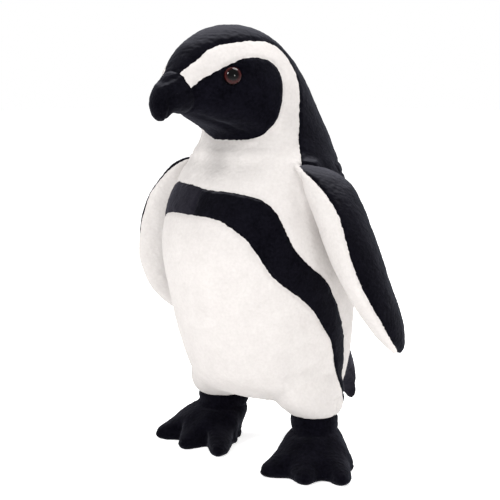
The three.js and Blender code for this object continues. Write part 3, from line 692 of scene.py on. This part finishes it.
# ------------------------------------------------------------------ soft forms
CLOTH_VOXEL = 5.0         # mm, mesh that is inflated
CLOTH_FRAMES = 20
CLOTH_PRESSURE = 700
SEAM_GRIP, SEAM_GRIP_REACH = 1.25, 6.0    # hold of a seam on the cloth, and the mm over which it fades
FAINT = 0.01              # grips below this are left out
PUFF_CAP = 2.4            # mm, most that the filling may push a point out
PUFF_REST = 0.3           # mm, taken off again, so that the seams sink and the panels crown
CARRY_POINTS = 4          # how many points of the coarse copy each fine point averages
CARRY_SOFTEN = 0.5        # mm, added to their distances, so that none of them weighs too much
PILE = 0.45               # mm, height of the pile over the sewn form
PUCKER, PUCKER_SIZE, PUCKER_REACH = 0.4, 3.4, 2.5         # share of the seam's depth, mm, widths of the seam
RELIEF = ((0.16, 1.7, 7), (0.22, 8, 8), (0.3, 19, 9))     # height in mm, size in mm, seed
# size of the voxels, depth and width of the seams, in mm
TORSO_SKIN = (2.0, 0.9, 1.4)
WING_SKIN = (1.9, 0.8, 1.3)
TAIL_SKIN = (1.9, 0.7, 1.3)
FOOT_SKIN = (1.7, 0.5, 1.1)


def puff(part, fields):
    """Inflates a coarse copy held along its seams.

    Returns its points in mm and how far each moved along its normal.
    """
    obj = new_object("puff", *part)
    remesh(obj, CLOTH_VOXEL)
    v, tris = arrays(obj.data)
    shifted = v + [0, Y_SHIFT, 0]
    held = obj.vertex_groups.new(name="seams")
    weights = np.clip(SEAM_GRIP - seam_distance(fields(shifted)) / SEAM_GRIP_REACH, 0, 1)
    for i in np.nonzero(weights > FAINT)[0]:
        held.add([int(i)], float(weights[i]), "REPLACE")
    cloth = obj.modifiers.new("cloth", "CLOTH")
    settings = cloth.settings
    settings.quality = 4
    settings.mass = 0.2
    settings.tension_stiffness = settings.compression_stiffness = 5
    settings.shear_stiffness = 3
    settings.bending_stiffness = 0.5
    settings.use_pressure = True
    settings.uniform_pressure_force = CLOTH_PRESSURE
    settings.vertex_group_mass = "seams"
    settings.effector_weights.gravity = 0
    cloth.collision_settings.use_collision = False
    cloth.point_cache.frame_start = 1
    cloth.point_cache.frame_end = CLOTH_FRAMES
    scene = bpy.context.scene
    for frame_number in range(1, CLOTH_FRAMES + 1):
        scene.frame_set(frame_number)
    apply_modifiers(obj)
    moved, _ = arrays(obj.data)
    bpy.data.objects.remove(obj)
    scene.frame_set(1)
    out = ((moved - v) * normals_of(v, tris)).sum(1)
    return shifted, np.clip(out, -PUFF_CAP, PUFF_CAP) - PUFF_REST


def nearby(points, values, targets):
    """Values at scattered points carried to targets, weighted by distance."""
    tree = KDTree(len(points))
    for i, p in enumerate(points):
        tree.insert(p, i)
    tree.balance()
    out = np.zeros(len(targets))
    for i, target in enumerate(targets):
        total = weight = 0.0
        for _, index, distance in tree.find_n(target, CARRY_POINTS):
            w = 1 / (distance + CARRY_SOFTEN)
            total += w * values[index]
            weight += w
        out[i] = total / weight
    return out


def soft_form(name, part, fields, skin, details=None, inflate=True):
    """Fine millimetre mesh of a stuffed form: crowned panels and valleys along the seams."""
    voxel, seam_depth, seam_width = skin
    obj = new_object(name, *part)
    remesh(obj, voxel)
    v, tris = arrays(obj.data)
    v = relax(v, edges_of(tris))
    base = v + [0, Y_SHIFT, 0]
    push = np.zeros(len(v))
    if inflate:
        push = nearby(*puff(part, fields), base)
    v = v + normals_of(v, tris) * push[:, None]
    obj.data.vertices.foreach_set("co", (v * MM).ravel())
    subdivide(obj)
    v, tris = arrays(obj.data)
    bpy.data.objects.remove(obj)
    v[:, 1] += Y_SHIFT
    values = fields(v)
    distance = seam_distance(values)
    n = normals_of(v, tris)
    push = PILE - seam_depth * np.exp(-((distance / seam_width) ** 2))
    reach = PUCKER_REACH * seam_width
    push += PUCKER * seam_depth * noise(v, PUCKER_SIZE, 5) * np.exp(-((distance / reach) ** 2))
    push += sum(height * noise(v, size, seed) for height, size, seed in RELIEF)
    if details is not None:
        push += details(v)
    return v + n * push[:, None], tris, values


SEAM_RAGGED = 0.35        # mm
RAGGED_FINE, RAGGED_COARSE = 1.4, 4.0     # mm, size of its waves


def ragged(v, seed):
    """How far the pile blurs the edge of a panel, in mm."""
    return SEAM_RAGGED * (noise(v, RAGGED_FINE, seed) + 0.5 * noise(v, RAGGED_COARSE, seed + 1))


def finish_piece(name, v, tris, material, stands_for, body=None):
    """Padded cloth piece that rides on one body, or stays fixed where it is without one, and stands for CAD
    nodes.
    """
    v, tris = compact(v, tris)
    obj = new_object(name, v, tris, material)
    obj.data.shade_smooth()
    if body:
        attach(obj, body)
    else:
        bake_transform(obj)
    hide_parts(*stands_for)


def crease(v, a, b, width, depth):
    """Valley of the given depth along the segment from a to b, fading at its ends.

    Works in two columns or in three.
    """
    a, b = np.array(a, float), np.array(b, float)
    d = b - a
    t = ((v - a) @ d) / (d @ d)
    held = np.clip(t, 0, 1)
    away = np.linalg.norm(v - a - held[:, None] * d, axis=1)
    return -depth * np.exp(-((away / width) ** 2)) * np.sin(np.pi * (0.1 + 0.8 * held))


def mound(v, centre, reach, rise):
    """Rounded rise, or a dent below zero, with the given reach along x, y and z."""
    return rise * np.exp(-(((v - centre) / reach) ** 2).sum(1))


def filleted(v, tris):
    """Body cloth drawn out towards the front of each shoulder, where the wing is sewn on."""
    wing, _ = wing_part()
    wing = wing + [0, Y_SHIFT, 0]
    root = wing[(wing[:, 2] > FILLET_ROOT_Z) & (wing[:, 1] < FILLET_ROOT_Y)]
    n = normals_of(v, tris)
    push = np.zeros(len(v))
    for side in (1, -1):
        tree = KDTree(len(root))
        for i, p in enumerate(root * [side, 1, 1]):
            tree.insert(p, i)
        tree.balance()
        fade = ramp(v[:, 2], *FILLET_LOW) * (1 - ramp(v[:, 2], *FILLET_HIGH))
        zone = (side * v[:, 0] > FILLET_X) & (v[:, 1] < FILLET_Y) & (fade > 0)
        for i in np.nonzero(zone)[0]:
            distance = tree.find(v[i])[2]
            if distance < FILLET_REACH:
                push[i] = FILLET_RISE * fade[i] * (1 - distance / FILLET_REACH) ** 2
    return v + n * push[:, None]


def torso_details(v):
    """Hollows round the eyes, mounds, dents, darts and folds, in mm along the normal."""
    front = v[:, 1] < FRONT_Y
    push = np.zeros(len(v))
    for side in (1, -1):
        half = v * [side, 1, 1]
        near = np.linalg.norm(half - EYE_PLACE, axis=1)
        push -= EYE_HOLLOW * np.exp(-((near / EYE_HOLLOW_REACH) ** 4))
        push += mound(half, *BROW) + mound(half, *BRIDGE)
        push += np.where(front, crease(half[:, [0, 2]], *DART), 0)
        for folds in (LEG_FOLDS, NECK_FOLDS):
            depth = sum(crease(half[:, 1:], *fold) for fold in folds)
            push += np.where(half[:, 0] > SIDE_X, depth, 0)
    push += crease(v[:, [0, 2]], *CENTRE_SEAM) * front
    return push + mound(v, *CROWN) + mound(v, *HEM) + mound(v, *LEFT_CALF)


# field: panel, plush, and the filling it also stands for; a panel without one is sewn in two halves.
# The fields are cut in this order, and the collar is what remains.
PANELS = {
    "beak": ("beak_panel", black_plush, None),
    "crown": ("crown_panel", black_plush, "head_filling"),
    # the cheeks get the plush with painted shade
    "cheek": ("cheek_panel", painted_shade_plush, None),
    "band": ("chest_band", black_plush, None),
    "underside": ("underside_panel", white_plush, "pellet_bag"),
    "belly": ("belly_panel", white_plush, "body_filling"),
    "back": ("back_panel", black_plush, None),
    "collar": ("collar_panel", white_plush, None),
}
TORSO_SEED = 11
WING_SEED = 31


def torso():
    part = merge(body_part(), beak_part(), leg_part(1), leg_part(-1))
    v, tris, values = soft_form("torso", part, panel_fields, TORSO_SKIN, torso_details)
    v = filleted(v, tris)
    cuts = [key for key in PANELS if key != "collar"]
    columns = [values[key] + ragged(v, TORSO_SEED + i) for i, key in enumerate(cuts)]
    carried = np.stack([*columns, v[:, 0]], 1)
    rest = tris
    for i, (key, (panel, material, filling)) in enumerate(PANELS.items()):
        if key == "collar":
            inside = rest
        else:
            v, inside, rest, carried = split(v, rest, carried[:, i], carried)
        if filling:
            finish_piece(panel + "_cloth", v, inside, material, [panel, filling], "torso")
            continue
        halves, right, left, _ = split(v, inside, carried[:, -1], carried)
        # the right half of the chest band gets the plush with painted light
        right_material = painted_light_plush if key == "band" else material
        finish_piece("left_" + panel + "_cloth", halves, left, material, ["left_" + panel], "torso")
        finish_piece("right_" + panel + "_cloth", halves, right, right_material, ["right_" + panel], "torso")


def wing_field(v, side):
    """Negative on the outer panel of a wing. Both wings are computed in the place of the left one."""
    rows = spline(WING, WING_GRID[1])[::-1]
    columns = [np.interp(v[:, 2], rows[:, 0], column) for column in rows.T[1:]]
    lead_x, lead_y, trail_x, trail_y, _, wrap = columns
    lead = np.stack([lead_x, lead_y + Y_SHIFT], 1)
    trail = np.stack([trail_x, trail_y + Y_SHIFT], 1)
    if side < 0:
        wrap = wrap - RIGHT_SEAM_IN * ramp(v[:, 2], *RIGHT_WRAP_HEIGHTS)
    chord = lead - trail
    length = np.linalg.norm(chord, axis=1)
    out = np.stack([-chord[:, 1], chord[:, 0]], 1) / length[:, None]
    along = ((v[:, :2] - trail) * chord).sum(1) / length**2
    return {"outer": wrap * np.clip(along, 0, 1) - ((v[:, :2] - trail) * out).sum(1)}


def wings():
    for side, word in ((1, "left"), (-1, "right")):
        def field(v):
            return wing_field(v, side)

        v, tris, values = soft_form("wing", wing_part(), field, WING_SKIN)
        carried = (values["outer"] + ragged(v, WING_SEED))[:, None]
        v, outer, inner, _ = split(v, tris, carried[:, 0], carried)
        placed = v * [side, 1, 1]
        turn = slice(None, None, side)
        wing = word + "_wing"
        finish_piece(wing + "_outer_cloth", placed, outer[:, turn], black_plush, [wing + "_outer_panel"])
        finish_piece(wing + "_inner_cloth", placed, inner[:, turn], white_plush,
                     [wing + "_inner_panel", wing + "_filling"])


def tail_field(v):
    p = v[:, 1:] - [Y_SHIFT, 0]
    return {"top": signed_distance(p, fine(TAIL_SEAM) + TAIL_CLOSE)}


def tail():
    v, tris, values = soft_form("tail", tail_part(), tail_field, TAIL_SKIN)
    v, top, bottom, _ = split(v, tris, values["top"], values["top"][:, None])
    # both tail pieces get the plush with painted light
    finish_piece("tail_top_cloth", v, top, painted_light_plush, ["tail_top_panel"])
    finish_piece("tail_bottom_cloth", v, bottom, painted_light_plush, ["tail_bottom_panel", "tail_filling"])


def foot_field(v):
    return {"sole": v[:, 2] - SOLE_EDGE, "cuff": CUFF_BOTTOM - v[:, 2]}


def ankle_details(v, side):
    """The crease below the cuff, the flare of the cuff, and the swell of instep and heel, in mm."""
    shape = ANKLE_SHAPE[side]
    x, y = ANKLE[side]
    diagonal = (v[:, 0] - side * x + v[:, 1] - y - Y_SHIFT) / ANKLE_REACH
    front, back = np.clip(-diagonal, 0, 1), np.clip(diagonal, 0, 1)
    height = v[:, 2]
    ring = np.exp(-(((height - RING_Z - shape["rise"] * front) / shape["width"]) ** 2))
    instep = shape["instep"] * front * np.exp(-(((height - INSTEP_Z) / INSTEP_REACH) ** 2))
    heel = shape["heel"] * back * smoothstep(height, *HEEL_HEIGHTS)
    depth = RING_DEPTH + shape["deeper"] * front
    return instep + heel - depth * ring + shape["flare"] * smoothstep(height, *FLARE_HEIGHTS)


def toe_creases(v, side):
    """Creases between the toes, in mm along the normal."""
    x, y = ANKLE[side]
    push = np.zeros(len(v))
    for between in TOE_NOTCHES[side]:
        way = np.array([side * math.sin(math.radians(between)), -math.cos(math.radians(between)), 0])
        start = np.array([side * x, y + Y_SHIFT, TOE_CREASE_TOP]) + way * TOE_CREASE_START
        end = start + way * TOE_CREASE_RUN - [0, 0, TOE_CREASE_FALL]
        push += crease(v, start, end, TOE_CREASE_WIDTH, TOE_CREASE_DEPTH)
    return push


def feet():
    for side, word in ((1, "left"), (-1, "right")):
        def details(v):
            return ankle_details(v, side) + toe_creases(v, side)

        v, tris, values = soft_form("foot", foot_part(side), foot_field, FOOT_SKIN, details, inflate=False)
        v[:, 2] = np.maximum(v[:, 2], 0)
        carried = np.stack([values["sole"], values["cuff"]], 1)
        v, sole, rest, carried = split(v, tris, carried[:, 0], carried)
        v, cuff, top, carried = split(v, rest, carried[:, 1], carried)
        # the feet get the plush with painted shade
        finish_piece(word + "_foot_sole_cloth", v, sole, painted_shade_plush, [word + "_foot_sole"], "torso")
        finish_piece(word + "_foot_top_cloth", v, top, painted_shade_plush,
                     [word + "_foot_top", word + "_foot_filling"], "torso")
        finish_piece(word + "_ankle_cuff_cloth", v, cuff, painted_shade_plush, [word + "_ankle_cuff"], "torso")


def eyes():
    angle = circle(EYE_GRID[0])
    dome = np.linspace(0.06, 1.5, EYE_GRID[1])
    profile = EYE_BACK + [(EYE_RADIUS * math.cos(t), DOME_FOOT + DOME_HEIGHT * math.sin(t)) for t in dome]
    for side, word in ((1, "left"), (-1, "right")):
        centre = EYE_PLACE * [side, 1, 1]
        axis = np.array([side * EYE_AXIS.x, EYE_AXIS.y, EYE_AXIS.z])
        u = np.cross(axis, [0, 0, 1])
        u /= np.linalg.norm(u)
        w = np.cross(u, axis)
        rings = [centre + r * np.cos(angle)[:, None] * u + r * np.sin(angle)[:, None] * w + s * axis
                 for r, s in profile]
        v, f = loft(rings)
        obj = new_object(word + "_eye_dome", v, f, eye_gloss)
        obj.data.shade_smooth()
        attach(obj, "torso")
        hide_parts(word + "_eye", word + "_eye_post", word + "_eye_washer")


# ------------------------------------------------------------------ studio
CAMERA_TARGET = Vector((-0.0074, -0.00266, 0.143))
CAMERA_AZIMUTH, CAMERA_ELEVATION = math.radians(45), math.radians(8.5)
CAMERA_DISTANCE = 0.85
LENS, SENSOR = 87.43, 36
# the world is white near the horizon and grey above: upward part of the direction, brightness
SKY = ((0.12, 1.0), (0.34, 0.52))
FLOOR_HALF, FLOOR_Z = 6000, -0.1          # mm
FLOOR_WHITE = 0.92
FLOOR_GLOW = 0.62
LIGHT_AIM = Vector((0, 0, 0.15))
# name, place, diameter in metres, watts
LIGHTS = [
    ("key", (-0.1, -1.2, 1.15), 0.42, 11.5),
    ("fill", (1.35, -0.55, 0.75), 0.3, 5),
    ("top", (0.1, 0.5, 1.5), 0.9, 20),
]


def set_camera(scene):
    flat = math.cos(CAMERA_ELEVATION)
    away = Vector((math.sin(CAMERA_AZIMUTH) * flat, -math.cos(CAMERA_AZIMUTH) * flat,
                   math.sin(CAMERA_ELEVATION)))
    camera = bpy.data.objects.new("camera", bpy.data.cameras.new("camera"))
    scene.collection.objects.link(camera)
    camera.location = CAMERA_TARGET + away * CAMERA_DISTANCE
    camera.rotation_euler = (-away).to_track_quat("-Z", "Y").to_euler()
    camera.data.sensor_width = SENSOR
    camera.data.lens = LENS
    camera.data.clip_start = 0.01
    scene.camera = camera


def set_world(scene):
    world = bpy.data.worlds.new("studio")
    scene.world = world
    world.use_nodes = True
    nodes, links = world.node_tree.nodes, world.node_tree.links
    way = nodes.new("ShaderNodeTexCoord")
    parts = nodes.new("ShaderNodeSeparateXYZ")
    sky = nodes.new("ShaderNodeValToRGB")
    for element, (height, grey) in zip(sky.color_ramp.elements, SKY):
        element.position = height
        element.color = (grey, grey, grey, 1)
    links.new(way.outputs["Generated"], parts.inputs[0])
    links.new(parts.outputs["Z"], sky.inputs["Fac"])
    links.new(sky.outputs["Color"], nodes["Background"].inputs["Color"])
    scene.view_settings.view_transform = "Standard"


def set_floor():
    material, _, shader = principled("floor")
    shader.inputs["Base Color"].default_value = (FLOOR_WHITE, FLOOR_WHITE, FLOOR_WHITE, 1)
    shader.inputs["Emission Color"].default_value = (1, 1, 1, 1)
    shader.inputs["Emission Strength"].default_value = FLOOR_GLOW
    shader.inputs["Roughness"].default_value = 0.9
    shader.inputs["Specular IOR Level"].default_value = 0.1
    corners = [[x * FLOOR_HALF, y * FLOOR_HALF, FLOOR_Z] for x, y in ((-1, -1), (1, -1), (1, 1), (-1, 1))]
    new_object("floor", corners, [[0, 1, 2, 3]], material)


def set_lights(scene):
    for name, place, diameter, watts in LIGHTS:
        light = bpy.data.lights.new(name, "AREA")
        light.shape = "DISK"
        light.size = diameter
        light.energy = watts
        obj = bpy.data.objects.new(name, light)
        scene.collection.objects.link(obj)
        obj.location = place
        obj.rotation_euler = (Vector(place) - LIGHT_AIM).to_track_quat("Z", "Y").to_euler()


def studio():
    set_camera(bpy.context.scene)
    set_world(bpy.context.scene)
    set_floor()
    set_lights(bpy.context.scene)


torso()
wings()
tail()
feet()
eyes()
studio()
